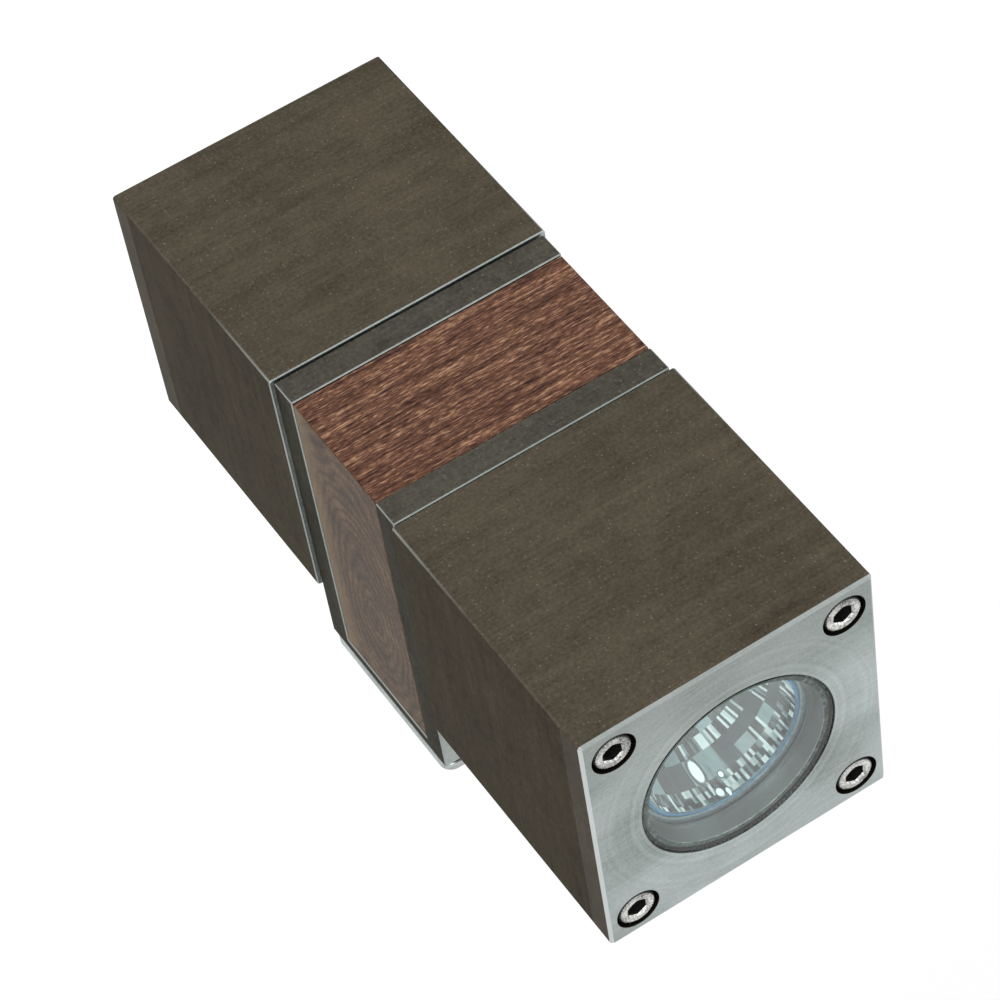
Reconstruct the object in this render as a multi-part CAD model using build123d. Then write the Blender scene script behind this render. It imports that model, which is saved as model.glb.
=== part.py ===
from build123d import *
import os

# Up-and-down wall light in square section. The origin is the centre of the wall plate's back
# face: +Y points into the wall, -Y to the front, +Z up. All sizes are in millimetres.

past = 1.0  # cutting tools run this far past the faces they cut

# --- outside ---------------------------------------------------------------------------------
side = 80.0  # square section of both lamp housings
body_long = 71.65  # housing body, from the joint to its rim
cover_thick = 8.0
seam_gap = 0.05  # the cover seats metal to metal on the rim
cover_gasket_thick = 0.5
rim_land = 1.2  # metal left outside the gasket's rebate
gasket_lap = 0.5  # the cover gasket stands this far inside the wall
edge_round = 0.9  # long edges of the housings
edge_bevel = 0.3  # broken edges of the metal parts
cover_bevel = 0.8

# --- centre block and wall plate -------------------------------------------------------------
block_inset = 1.0  # the block is narrower than the housings by this much each side
front_step = 0.4  # and stands this far behind their front
block_depth = 98.1
flange_thick = 8.3
channel_gap = 38.9  # clear height between the flanges
web_thick = 3.5
joint_gasket_thick = 0.6
gasket_inset = 1.6
sink_clear = 0.4  # round the heads of the screws sunk in the flanges
terminal_tap_deep = 5.0
earth_tap_deep = 6.0
plate_thick = 2.5
plate_corner = 3.5
plate_gasket_thick = 0.6

# --- wood ------------------------------------------------------------------------------------
wood_clear = 0.25
wood_inset = 0.2
wood_front_wall = 23.0
wood_side_wall = 10.7
wood_round = 0.4

# --- housings --------------------------------------------------------------------------------
wall = 3.0
base_thick = 5.0
screw_edge = 8.4  # distance of the cover screws from the sides
boss_r = 6.2
boss_root = 0.5  # the corners behind the bosses run this far into the walls

# --- cover, glass and lamp well --------------------------------------------------------------
glass_seat = 2.5  # width of the ledge under the cover glass
glass_clear = 0.3
glass_thick = 2.0
glass_inset = 0.1
seal_thick = 0.2
well_less = 0.3  # the bore behind the glass is narrower than the lamp
lip_over = 1.6  # the lip reaches this far over the lamp's rim
lip_depth = 6.6
lip_thick = 0.6
rim_pocket_clear = 0.6

# --- lamp, twist-lock, 50 mm -----------------------------------------------------------------
lamp_r = 25.0
lamp_depth = 8.2  # lamp front below the face of the cover
lamp_long = 46.9
lamp_rim_wide = 2.7
lamp_glass_thick = 1.8
lamp_rim_thick = 3.0
lamp_bowl_long = 27.0
lamp_neck_r = 12.0
lamp_shell = 1.8
lamp_bulge = 2.6  # of the bowl's outline, past a straight line
lamp_ledge = 1.0  # under the lamp's glass
throat_clear = 1.4  # round the burner
cap_bevel = 1.0
lamp_cap_r = 12.5
capsule_sunk = 6.0  # socket for the burner in the cap
capsule_clear = 0.4
capsule_r = 4.6
capsule_long = 18.0
capsule_foot = 5.0  # length of the burner inside the cap
capsule_tip_r = 0.8  # flat left on its rounded end
pin_pitch = 10.0
pin_r = 1.5
pin_head_r = 2.5
pin_long = 6.0
pin_head_long = 2.6
pin_root = 3.5  # length of the pin inside the cap
pin_hole_deep = 4.0
pin_bevel = 0.5
twist = 30.0

# --- lamp holder -----------------------------------------------------------------------------
holder_r = 13.5
holder_tall = 15.0
holder_top_thick = 2.6
seat_clear = 0.1
slot_clear = 0.25
contact_thick = 0.8
contact_clear = 0.05
contact_half = 3.0  # half the width of a contact spring
contact_reach = 2.0
contact_gap = 0.1  # above the groove's floor
contact_roof_gap = 0.4
groove_spare = 2.5  # room under the pin heads
holder_bevel = 0.8
holder_tap_deep = 7.0
holder_screw_edge = 3.0
holder_screw_grip = 6.0
lead_clear = 0.2
bracket_thick = 1.6
bracket_wide = 24.0
bracket_over = 3.5  # the bracket reaches this far past the holder
bracket_foot = 9.0
bracket_hole_less = 1.0  # the bracket's hole is narrower than the bush
foot_screw_short = 1.5

# --- fasteners: thread radius, head radius, head height, key across flats --------------------
M6 = dict(thread=3.0, head=5.15, tall=6.0, key=5.0)
M5 = dict(thread=2.5, head=4.25, tall=5.0, key=4.0)
M4 = dict(thread=2.0, head=3.5, tall=2.6, key=2.0)
M3 = dict(thread=1.5, head=2.75, tall=2.0, key=2.0)
head_bevel = 0.08  # of the head's radius
socket_deep = 0.55  # of the head's height
thin_head = 1.2  # head of the screws under the lamp holder
thread_clear = 0.05
hole_clear = 0.3
counterbore_r = 6.0
counterbore_spare = 0.1
cover_screw_long = 16.0
screw_short = 1.0  # the cover screws end this far above the bottom of their holes
housing_screw_spread = 40.0
housing_screw_short = 0.5
wall_hole_pitch = 66.0
wall_hole_r = 2.4
wall_countersink_r = 4.2
stud_pitch = 40.0
stud_long = 14.0
stud_back = 0.2  # the studs end this far in front of the wall
nut_flats = 8.0
nut_tall = 4.0
washer_r = 5.0
washer_thick = 1.0
grub_edge = 5.5  # distance of the grub screws from the block's sides
grub_back = 12.0  # and from the wall
grub_sunk = 1.5
grub_clear = 0.05
grub_key_deep = 2.5

# --- wiring ----------------------------------------------------------------------------------
bush_r = 7.5
bush_bore_r = 5.5
bush_flange_r = 9.5
bush_flange_thick = 1.2
bush_short = 0.4
entry_r = 7.0
entry_bore_r = 4.5
entry_flange_r = 9.0
entry_flange_thick = 2.0
lead_r = 0.9
lead_pitch = 6.4
lead_bend = 8.0
lead_strip = 3.0  # the leads end this far under the pins, and turn this far before the terminal
lead_grip = 6.0  # and run this far into it
lead_near_bend = 4.0
low_bend = 0.8  # of the height left under the lower leads
lead_stack = 1.15  # the two pairs of leads lie this far above and below the terminal's axis
terminal_pitch = 9.0
terminal_deep = 16.0
terminal_tall = 13.0
terminal_wall = 4.0
terminal_back = 28.0  # distance from the wall
insert_wide = 5.6
insert_bore_r = 2.3
insert_short = 1.0
block_bevel = 0.6
clamp_sunk = 0.8
slot_half_long = 2.0
slot_half_wide = 0.3
slot_deep = 0.8
terminal_head = 2.4
terminal_grip = 4.5
earth_grip = 5.0
earth_washer_wide = 1.0
earth_x = 20.0
earth_back = 20.0  # distance of the earth screw from the wall

# --- places that follow from the sizes -------------------------------------------------------
web_back = -(plate_thick + plate_gasket_thick)
web_front = web_back - web_thick
block_front = web_back - block_depth
front = block_front - front_step
axis_y = front + side / 2
screw_pitch = side - 2 * screw_edge
lip_r = lamp_r - lip_over
well_r = lamp_r - well_less
window_r = well_r + glass_seat
glass_r = window_r - glass_clear
lamp_glass_r = lamp_r - lamp_rim_wide
bracket_top_long = 2 * (holder_r + bracket_over)
back = front + side
block_half_x = side / 2 - block_inset
grub_pitch = 2 * (block_half_x - grub_edge)
gap_half = channel_gap / 2
block_half_z = gap_half + flange_thick
joint_z = block_half_z + joint_gasket_thick
rim_z = joint_z + body_long
cover_z = rim_z + seam_gap
gasket_z = cover_z - cover_gasket_thick
face_z = cover_z + cover_thick
floor_z = joint_z + base_thick
lamp_z = face_z - lamp_depth
holder_z = lamp_z - lamp_long - seat_clear
bracket_z = holder_z - holder_tall
lead_z = -gap_half + terminal_tall / 2
wood_front = block_front + wood_inset
wood_back = web_front - wood_clear
terminal_y = -(terminal_back + terminal_deep / 2)


def corners(pitch):
    """Centres of four fasteners on a square about the lamp axis."""
    return [(i * pitch / 2, axis_y + j * pitch / 2) for i in (-1, 1) for j in (-1, 1)]


def span(x, y, z):
    """Box between two limits along each axis."""
    low, high = zip(x, y, z)
    size = [h - l for l, h in zip(low, high)]
    middle = [(h + l) / 2 for l, h in zip(low, high)]
    return Pos(*middle) * Box(*size)


def rod(x, y, r, low, high):
    """Upright cylinder between two heights."""
    return Pos(x, y, (low + high) / 2) * Cylinder(r, high - low)


def rod_y(x, z, r, low, high):
    """Cylinder along Y between two depths."""
    return Pos(x, (low + high) / 2, z) * Rot(90, 0, 0) * Cylinder(r, high - low)


def ring(x, y, outer, inner, low, high):
    return rod(x, y, outer, low, high) - rod(x, y, inner, low - past, high + past)


def hex_pocket(x, y, flats, low, high):
    cut = RegularPolygon(flats / 3**0.5, 6)
    return Pos(x, y, low) * extrude(cut, high - low)


def cap_screw(x, y, seat, size, shank, up=1):
    """Socket-head cap screw whose head stands on seat; up is +1 with the head above it."""
    head = Cylinder(size["head"], size["tall"], align=(Align.CENTER, Align.CENTER, Align.MIN))
    head = chamfer(head.edges().group_by(Axis.Z)[-1], size["head"] * head_bevel)
    depth = size["tall"] * socket_deep
    socket = hex_pocket(0, 0, size["key"], size["tall"] - depth, size["tall"] + past)
    body = head - socket + rod(0, 0, size["thread"], -shank, 0)
    return Pos(x, y, seat) * (body if up > 0 else Rot(180, 0, 0) * body)


def screw_hole(x, y, size, low, high):
    return rod(x, y, size["thread"] + thread_clear, low, high)


def housing():
    middle = (joint_z + rim_z) / 2
    body = Pos(0, axis_y, middle) * Box(side, side, body_long)
    body = fillet(body.edges().filter_by(Axis.Z), edge_round)
    body = chamfer(body.faces().filter_by(Axis.Z).sort_by(Axis.Z)[0].edges(), edge_bevel)
    body -= gasket_outline(gasket_z, rim_z + past)
    inner = side - 2 * wall
    hollow = Pos(0, axis_y, floor_z) * extrude(Rectangle(inner, inner), body_long)
    fill = inner / 2 - screw_pitch / 2 + boss_root
    for x, y in corners(screw_pitch):
        hollow -= rod(x, y, boss_r, floor_z - past, rim_z + body_long)
        corner_x = x + (fill / 2 if x > 0 else -fill / 2)
        corner_y = y + (fill / 2 if y > axis_y else -fill / 2)
        hollow -= Pos(corner_x, corner_y, (floor_z + rim_z) / 2) * Box(fill, fill, 3 * body_long)
    body -= hollow
    for x, y in corners(screw_pitch):
        body -= screw_hole(x, y, M6, rim_z - cover_screw_long, rim_z + past)
    for x, y in corners(housing_screw_spread):
        body -= screw_hole(x, y, M5, joint_z - past, floor_z + past)
    for x in foot_screws():
        body -= screw_hole(x, axis_y, M3, joint_z + past, floor_z + past)
    return body - rod(0, axis_y, bush_r + thread_clear, joint_z - past, floor_z + past)


def gasket_outline(low, high):
    half = side / 2 - rim_land
    return span((-half, half), (axis_y - half, axis_y + half), (low, high))


def cover():
    body = Pos(0, axis_y, (cover_z + face_z) / 2) * Box(side, side, cover_thick)
    body = fillet(body.edges().filter_by(Axis.Z), edge_round)
    body = chamfer(body.faces().filter_by(Axis.Z).sort_by(Axis.Z)[-1].edges(), cover_bevel)
    seat = face_z - glass_inset - glass_thick - seal_thick
    lip = face_z - lip_depth
    body -= rod(0, axis_y, window_r, seat, face_z + past)
    body -= rod(0, axis_y, well_r, lip, seat + past)
    body -= rod(0, axis_y, lip_r, cover_z - past, lip + past)
    rim_pocket = lamp_r + rim_pocket_clear
    body -= rod(0, axis_y, rim_pocket, cover_z - past, lip - lip_thick)
    for x, y in corners(screw_pitch):
        body -= rod(x, y, M6["thread"] + hole_clear, cover_z - past, face_z)
        body -= rod(x, y, counterbore_r, cover_seat(), face_z + past)
    return body


def cover_seat():
    """Floor of the counterbores under the cover screws."""
    return face_z - M6["tall"] - counterbore_spare


def cover_gasket():
    """Flat gasket in the rim's rebate, widened round the four screw bosses."""
    inner = side - 2 * (wall + gasket_lap)
    deep = cover_gasket_thick + 2 * past
    opening = Pos(0, axis_y, gasket_z - past) * extrude(Rectangle(inner, inner), deep)
    for x, y in corners(screw_pitch):
        opening -= rod(x, y, boss_r, gasket_z - 2 * past, cover_z + 2 * past)
    flat = gasket_outline(gasket_z, cover_z) - opening
    for x, y in corners(screw_pitch):
        flat -= rod(x, y, M6["thread"] + hole_clear, gasket_z - past, cover_z + past)
    return flat


def cover_screws():
    shank = cover_seat() - rim_z + cover_screw_long - screw_short
    return [cap_screw(x, y, cover_seat(), M6, shank) for x, y in corners(screw_pitch)]


def cover_glass():
    top = face_z - glass_inset
    disc = rod(0, axis_y, glass_r, top - glass_thick, top)
    return chamfer(disc.edges().filter_by(GeomType.CIRCLE), edge_bevel)


def glass_seal():
    """Clear silicone bed: a flat ring under the glass and a thin wall round its edge."""
    top = face_z - glass_inset - edge_bevel
    seat = face_z - glass_inset - glass_thick - seal_thick
    bed = ring(0, axis_y, window_r, glass_r, seat, top)
    return bed + ring(0, axis_y, window_r, well_r, seat, seat + seal_thick)


def lamp_profile(rim, neck, top, low):
    """Half outline of the reflector's bowl, from the rim in to the neck."""
    middle = ((rim + neck) / 2 + lamp_bulge, (top + low) / 2 - lamp_bulge)
    return ThreePointArc((rim, top), middle, (neck, low))


def lamp_reflector():
    low = -lamp_bowl_long - lamp_shell
    outer_top = -lamp_rim_thick
    inner_top = -lamp_glass_thick
    points = [(lamp_r, outer_top), (lamp_r, 0), (lamp_glass_r, 0), (lamp_glass_r, inner_top)]
    throat = capsule_r + throat_clear
    ledge = lamp_glass_r - lamp_ledge
    inner = lamp_profile(ledge, throat, inner_top, -lamp_bowl_long)
    outer = lamp_profile(lamp_r, lamp_neck_r, outer_top, low)
    walls = [
        Polyline(*points, (ledge, inner_top)),
        inner,
        Polyline((throat, -lamp_bowl_long), (throat, low), (lamp_neck_r, low)),
        outer,
    ]
    half = make_face(walls)
    bowl = revolve(Plane.XZ * half, Axis.Z)
    return Pos(0, axis_y, lamp_z) * bowl


def lamp_cap():
    top = lamp_z - lamp_bowl_long - lamp_shell
    bottom = lamp_z - lamp_long
    body = rod(0, axis_y, lamp_cap_r, bottom, top)
    body = chamfer(body.edges().filter_by(GeomType.CIRCLE), cap_bevel)
    body -= rod(0, axis_y, capsule_r + capsule_clear, top - capsule_sunk, top + past)
    for x in (-pin_pitch / 2, pin_pitch / 2):
        body -= rod(x, axis_y, pin_r + thread_clear, bottom - past, bottom + pin_hole_deep)
    return body


def lamp_glass():
    disc = rod(0, axis_y, lamp_glass_r - thread_clear, lamp_z - lamp_glass_thick + thread_clear, lamp_z)
    return chamfer(disc.edges().group_by(Axis.Z)[-1], edge_bevel)


def lamp_capsule():
    foot = lamp_z - lamp_bowl_long - lamp_shell - capsule_foot
    tube = rod(0, axis_y, capsule_r, foot, foot + capsule_long)
    return fillet(tube.edges().group_by(Axis.Z)[-1], capsule_r - capsule_tip_r)


def lamp_pins():
    bottom = lamp_z - lamp_long
    pins = []
    for x in (-pin_pitch / 2, pin_pitch / 2):
        stem = rod(x, axis_y, pin_r, bottom - pin_long, bottom + pin_root)
        foot = rod(x, axis_y, pin_head_r, bottom - pin_long, bottom - pin_long + pin_head_long)
        pins.append(stem + chamfer(foot.edges().group_by(Axis.Z)[0], pin_bevel))
    return pins


def holder():
    """Ceramic twist-lock holder: keyhole slots over a ring groove for the pin heads."""
    body = rod(0, axis_y, holder_r, bracket_z, holder_z)
    body = chamfer(body.edges().filter_by(GeomType.CIRCLE), holder_bevel)
    slots = Sketch()
    for start in (0, 180):
        path = CenterArc((0, 0), pin_pitch / 2, start, twist)
        slots += SlotArc(path, 2 * (pin_r + slot_clear))
        slots += Rot(0, 0, start + twist) * Pos(pin_pitch / 2, 0) * Circle(pin_head_r + slot_clear)
    roof = holder_z - holder_top_thick
    body -= Pos(0, axis_y, roof - past) * extrude(slots, holder_top_thick + 2 * past)
    inner = pin_pitch / 2 - pin_head_r - slot_clear
    outer = pin_pitch / 2 + pin_head_r + slot_clear + contact_thick
    floor = holder_z - pin_long - groove_spare
    body -= ring(0, axis_y, outer, inner, floor, roof)
    for x in (-lead_pitch / 2, lead_pitch / 2):
        body -= rod(x, axis_y, lead_r + lead_clear, bracket_z - past, floor + past)
    for x in holder_screws_x():
        body -= screw_hole(x, axis_y, M3, bracket_z - past, bracket_z + holder_tap_deep)
    return body


def contacts():
    """Brass springs in the holder, one outside each pin head."""
    inner = pin_pitch / 2 + pin_head_r + slot_clear
    low = holder_z - pin_long - groove_spare + contact_gap
    high = holder_z - holder_top_thick - contact_roof_gap
    sleeve = ring(0, axis_y, inner + contact_thick - contact_clear, inner, low, high)
    parts = []
    for sign in (-1, 1):
        near, far = sorted((sign * (inner - contact_half), sign * (inner + contact_reach)))
        wide = (axis_y - contact_half, axis_y + contact_half)
        parts.append(sleeve & span((near, far), wide, (low, high)))
    return parts


def holder_screws_x():
    return (holder_screw_edge - holder_r, holder_r - holder_screw_edge)


def foot_screws():
    reach = bracket_top_long / 2 + bracket_foot / 2
    return (-reach, reach)


def bracket():
    """Hat-shaped steel strip that lifts the lamp holder off the housing's floor."""
    half = bracket_top_long / 2
    wide = (axis_y - bracket_wide / 2, axis_y + bracket_wide / 2)
    low = bracket_z - bracket_thick
    body = span((-half, half), wide, (low, bracket_z))
    for sign in (-1, 1):
        leg = sorted((sign * (half - bracket_thick), sign * half))
        foot = sorted((sign * (half - bracket_thick), sign * (half + bracket_foot)))
        body += span(leg, wide, (floor_z, bracket_z))
        body += span(foot, wide, (floor_z, floor_z + bracket_thick))
    body -= rod(0, axis_y, bush_r - bracket_hole_less, low - past, bracket_z + past)
    for x in holder_screws_x():
        body -= rod(x, axis_y, M3["thread"] + hole_clear, low - past, bracket_z + past)
    for x in foot_screws():
        body -= rod(x, axis_y, M3["thread"] + hole_clear, floor_z - past, floor_z + bracket_thick + past)
    return body


def holder_screws():
    seat = bracket_z - bracket_thick
    grip = holder_screw_grip + bracket_thick
    return [cap_screw(x, axis_y, seat, flat_m3(), grip, -1) for x in holder_screws_x()]


def flat_m3():
    """Thin-headed M3 screw that clears the floor under the bracket."""
    return dict(M3, tall=thin_head)


def bracket_screws():
    seat = floor_z + bracket_thick
    grip = base_thick + bracket_thick - foot_screw_short
    return [cap_screw(x, axis_y, seat, M3, grip) for x in foot_screws()]


def joint_gasket():
    half = block_half_x - gasket_inset
    low = block_front + gasket_inset
    flat = span((-half, half), (low, back - gasket_inset), (block_half_z, joint_z))
    for x, y in corners(housing_screw_spread):
        flat -= rod(x, y, M5["thread"] + hole_clear, block_half_z - past, joint_z + past)
    return flat - rod(0, axis_y, bush_r + thread_clear, block_half_z - past, joint_z + past)


def housing_screws():
    """Cap screws sunk in the flange from inside the channel, up into the housing's floor."""
    seat = gap_half + M5["tall"] + counterbore_spare
    shank = floor_z - seat - housing_screw_short
    return [cap_screw(x, y, seat, M5, shank, -1) for x, y in corners(housing_screw_spread)]


def wire_bush():
    body = rod(0, axis_y, bush_r, gap_half + bush_short, floor_z)
    top = floor_z + bush_flange_thick
    body += rod(0, axis_y, bush_flange_r, floor_z, top)
    return body - rod(0, axis_y, bush_bore_r, gap_half - past, top + past)


def leads(end):
    """Two lamp leads, from the holder through the bush to the terminal; end is +1 up, -1 down."""
    pair = []
    entry = lead_z + end * lead_stack
    for sign in (-1, 1):
        top = end * (bracket_z + holder_tall - pin_long - lead_strip)
        x = sign * lead_pitch / 2
        far = sign * terminal_pitch
        mouth = terminal_y - terminal_deep / 2
        turn = (far, mouth - lead_strip, entry)
        points = [(x, axis_y, top), (x, axis_y, entry), turn, (far, mouth + lead_grip, entry)]
        bend = lead_bend if end > 0 else (gap_half + entry) * low_bend
        path = FilletPolyline(*points, radius=[bend, lead_near_bend])
        pair.append(sweep(Plane(path @ 0, z_dir=path % 0) * Circle(lead_r), path))
    return pair


def channel():
    """Milled channel: back web and two thick flanges, open to the front and both sides."""
    outer = span((-block_half_x, block_half_x), (block_front, web_back), (-block_half_z, block_half_z))
    gap = span((-side, side), (block_front - past, web_front), (-gap_half, gap_half))
    body = outer - gap
    body = chamfer(body.edges().filter_by(Axis.X), edge_bevel)
    body = chamfer(body.faces().filter_by(Axis.X).edges(), edge_bevel)
    for end in (1, -1):
        inner, outer_z = sorted((end * (gap_half - past), end * (block_half_z + past)))
        cuts = []
        for x, y in corners(housing_screw_spread):
            cuts.append(rod(x, y, M5["thread"] + hole_clear, inner, outer_z))
            sink = sorted((end * (gap_half - past), end * (gap_half + M5["tall"] + counterbore_spare)))
            cuts.append(rod(x, y, M5["head"] + sink_clear, *sink))
        cuts.append(rod(0, axis_y, bush_r + thread_clear, inner, outer_z))
        for cut in cuts:
            body -= cut
    for x in (-grub_pitch / 2, grub_pitch / 2):
        body -= screw_hole(x, -grub_back, M4, -block_half_z - past, -gap_half + past)
    for x in (-stud_pitch / 2, stud_pitch / 2):
        body -= rod_y(x, 0, M5["thread"] + hole_clear, web_front - past, web_back + past)
    for x in terminal_screws_x():
        body -= screw_hole(x, terminal_y, M3, -gap_half - terminal_tap_deep, -gap_half + past)
    body -= screw_hole(earth_x, -earth_back, M4, -gap_half - earth_tap_deep, -gap_half + past)
    return body - rod_y(0, 0, entry_r + thread_clear, web_front - past, web_back + past)


def wood():
    """Hardwood insert, hollowed from the back to leave the front and two cheeks."""
    half_x = block_half_x - wood_inset
    half_z = gap_half - wood_clear
    block = span((-half_x, half_x), (wood_front, wood_back), (-half_z, half_z))
    block = fillet(block.edges(), wood_round)
    room = half_x - wood_side_wall
    return block - span((-room, room), (wood_front + wood_front_wall, 0), (-side, side))


def grub_screws():
    low = -block_half_z + grub_sunk
    high = -gap_half + wood_clear - grub_clear
    parts = []
    for x in (-grub_pitch / 2, grub_pitch / 2):
        body = rod(x, -grub_back, M4["thread"], low, high)
        parts.append(body - hex_pocket(x, -grub_back, M4["key"], low - past, low + grub_key_deep))
    return parts


def wall_plate():
    flat = RectangleRounded(2 * block_half_x, 2 * block_half_z, plate_corner)
    body = extrude(Plane.XZ * flat, plate_thick)
    body = chamfer(body.faces().sort_by(Axis.Y)[0].edges(), edge_bevel)
    for x in (-wall_hole_pitch / 2, wall_hole_pitch / 2):
        body -= rod_y(x, 0, wall_hole_r, -plate_thick - past, past)
        depth = wall_countersink_r - wall_hole_r
        cone = Cone(wall_countersink_r, wall_hole_r, depth)
        body -= Pos(x, -plate_thick + depth / 2, 0) * Rot(-90, 0, 0) * cone
    for x in (-stud_pitch / 2, stud_pitch / 2):
        body -= rod_y(x, 0, M5["thread"] + thread_clear, -plate_thick - past, past)
    return body - rod_y(0, 0, entry_r + thread_clear, -plate_thick - past, past)


def plate_gasket():
    half_x = block_half_x - gasket_inset
    half_z = block_half_z - gasket_inset
    flat = span((-half_x, half_x), (web_back, -plate_thick), (-half_z, half_z))
    for x in (-stud_pitch / 2, stud_pitch / 2):
        flat -= rod_y(x, 0, M5["thread"] + hole_clear, web_back - past, 0)
    for x in (-wall_hole_pitch / 2, wall_hole_pitch / 2):
        flat -= rod_y(x, 0, wall_countersink_r + hole_clear, web_back - past, 0)
    return flat - rod_y(0, 0, entry_r + thread_clear, web_back - past, 0)


def plate_studs():
    low = web_back - stud_long
    return [rod_y(x, 0, M5["thread"], low, -stud_back) for x in (-stud_pitch / 2, stud_pitch / 2)]


def stud_washers():
    parts = []
    for x in (-stud_pitch / 2, stud_pitch / 2):
        disc = rod_y(x, 0, washer_r, web_front - washer_thick, web_front)
        parts.append(disc - rod_y(x, 0, M5["thread"] + thread_clear, web_front - 2 * past, 0))
    return parts


def stud_nuts():
    seat = web_front - washer_thick
    parts = []
    for x in (-stud_pitch / 2, stud_pitch / 2):
        body = extrude(RegularPolygon(nut_flats / 3**0.5, 6), nut_tall)
        body = Pos(x, seat, 0) * Rot(90, 0, 0) * body
        parts.append(body - rod_y(x, 0, M5["thread"] + thread_clear, seat - 2 * nut_tall, 0))
    return parts


def cable_grommet():
    """Rubber bush for the supply cable, through plate, gasket and web."""
    low = web_front - entry_flange_thick
    body = rod_y(0, 0, entry_r, web_front, 0)
    body += rod_y(0, 0, entry_flange_r, low, web_front)
    return body - rod_y(0, 0, entry_bore_r, low - past, past)


def terminal_ways():
    return (-terminal_pitch, 0, terminal_pitch)


def terminal_screws_x():
    return (-terminal_pitch / 2, terminal_pitch / 2)


def terminal_room():
    half = terminal_pitch + insert_wide / 2
    return half, (terminal_y - terminal_deep / 2, terminal_y + terminal_deep / 2)


def terminal_block():
    half, deep = terminal_room()
    reach = half + terminal_wall / 2
    body = span((-reach, reach), deep, (-gap_half, -gap_half + terminal_tall))
    body = chamfer(body.edges().group_by(Axis.Z)[-1], block_bevel)
    wide = insert_wide / 2
    for x in terminal_ways():
        body -= span((x - wide, x + wide), deep_past(deep), (lead_z - wide, lead_z + wide))
        for y in clamp_rows():
            body -= rod(x, y, M3["thread"] + hole_clear, lead_z, 0)
    for x in terminal_screws_x():
        body -= screw_hole(x, terminal_y, M3, -gap_half - past, 0)
    return body


def deep_past(deep):
    return (deep[0] - past, deep[1] + past)


def clamp_rows():
    return (terminal_y - terminal_deep / 4, terminal_y + terminal_deep / 4)


def terminal_inserts():
    wide = insert_wide / 2 - thread_clear
    deep = terminal_room()[1]
    parts = []
    for x in terminal_ways():
        long = (deep[0] + insert_short, deep[1] - insert_short)
        body = span((x - wide, x + wide), long, (lead_z - wide, lead_z + wide))
        body -= rod_y(x, lead_z, insert_bore_r, deep[0], deep[1])
        for y in clamp_rows():
            body -= rod(x, y, M3["thread"] + thread_clear, lead_z, lead_z + insert_wide)
        parts.append(body)
    return parts


def clamp_screws():
    low = lead_z + insert_bore_r
    high = -gap_half + terminal_tall - clamp_sunk
    parts = []
    for x in terminal_ways():
        for y in clamp_rows():
            across = (x - slot_half_long, x + slot_half_long)
            slot = span(across, (y - slot_half_wide, y + slot_half_wide), (high - slot_deep, high + past))
            parts.append(rod(x, y, M3["thread"], low, high) - slot)
    return parts


def terminal_screws():
    seat = -gap_half + terminal_tall
    shank = terminal_tall + terminal_grip
    size = dict(M3, head=terminal_head)
    return [cap_screw(x, terminal_y, seat, size, shank) for x in terminal_screws_x()]


def earth_screw():
    seat = -gap_half + washer_thick
    return cap_screw(earth_x, -earth_back, seat, M4, washer_thick + earth_grip)


def earth_washer():
    outer = M4["head"] + earth_washer_wide
    inner = M4["thread"] + thread_clear
    return ring(earth_x, -earth_back, outer, inner, -gap_half, -gap_half + washer_thick)


def save(name, *solids):
    """One file per piece; several identical solids stay one piece."""
    flat = [solid for shape in solids for solid in shape.solids()]
    whole = flat[0] if len(flat) == 1 else Compound(children=flat)
    export_step(whole, os.path.join("parts", name + ".step"))


END_PIECES = {
    "housing": housing,
    "end_cover": cover,
    "cover_gasket": cover_gasket,
    "cover_screws": cover_screws,
    "cover_glass": cover_glass,
    "glass_seal": glass_seal,
    "lamp_reflector": lamp_reflector,
    "lamp_cap": lamp_cap,
    "lamp_glass": lamp_glass,
    "lamp_capsule": lamp_capsule,
    "lamp_pins": lamp_pins,
    "lamp_holder": holder,
    "holder_contacts": contacts,
    "holder_bracket": bracket,
    "holder_screws": holder_screws,
    "bracket_screws": bracket_screws,
    "joint_gasket": joint_gasket,
    "housing_screws": housing_screws,
    "wire_bush": wire_bush,
}

BLOCK_PIECES = {
    "centre_channel": channel,
    "wood_block": wood,
    "wood_grub_screws": grub_screws,
    "wall_plate": wall_plate,
    "plate_gasket": plate_gasket,
    "plate_studs": plate_studs,
    "stud_washers": stud_washers,
    "stud_nuts": stud_nuts,
    "cable_grommet": cable_grommet,
    "terminal_block": terminal_block,
    "terminal_inserts": terminal_inserts,
    "clamp_screws": clamp_screws,
    "terminal_screws": terminal_screws,
    "earth_screw": earth_screw,
    "earth_washer": earth_washer,
}


def as_list(made):
    return made if isinstance(made, list) else [made]


def main():
    os.makedirs("parts", exist_ok=True)
    for name, make in END_PIECES.items():
        solids = as_list(make())
        save("upper_" + name, *solids)
        save("lower_" + name, *[Rot(0, 180, 0) * solid for solid in solids])
    for end, name in ((1, "upper_leads"), (-1, "lower_leads")):
        save(name, *leads(end))
    for name, make in BLOCK_PIECES.items():
        save(name, *as_list(make()))


main()
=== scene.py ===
from math import atan2, cos, floor, pi, radians, sin, sqrt, tau

import bmesh
import bpy
from mathutils import Matrix, Vector, noise


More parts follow.
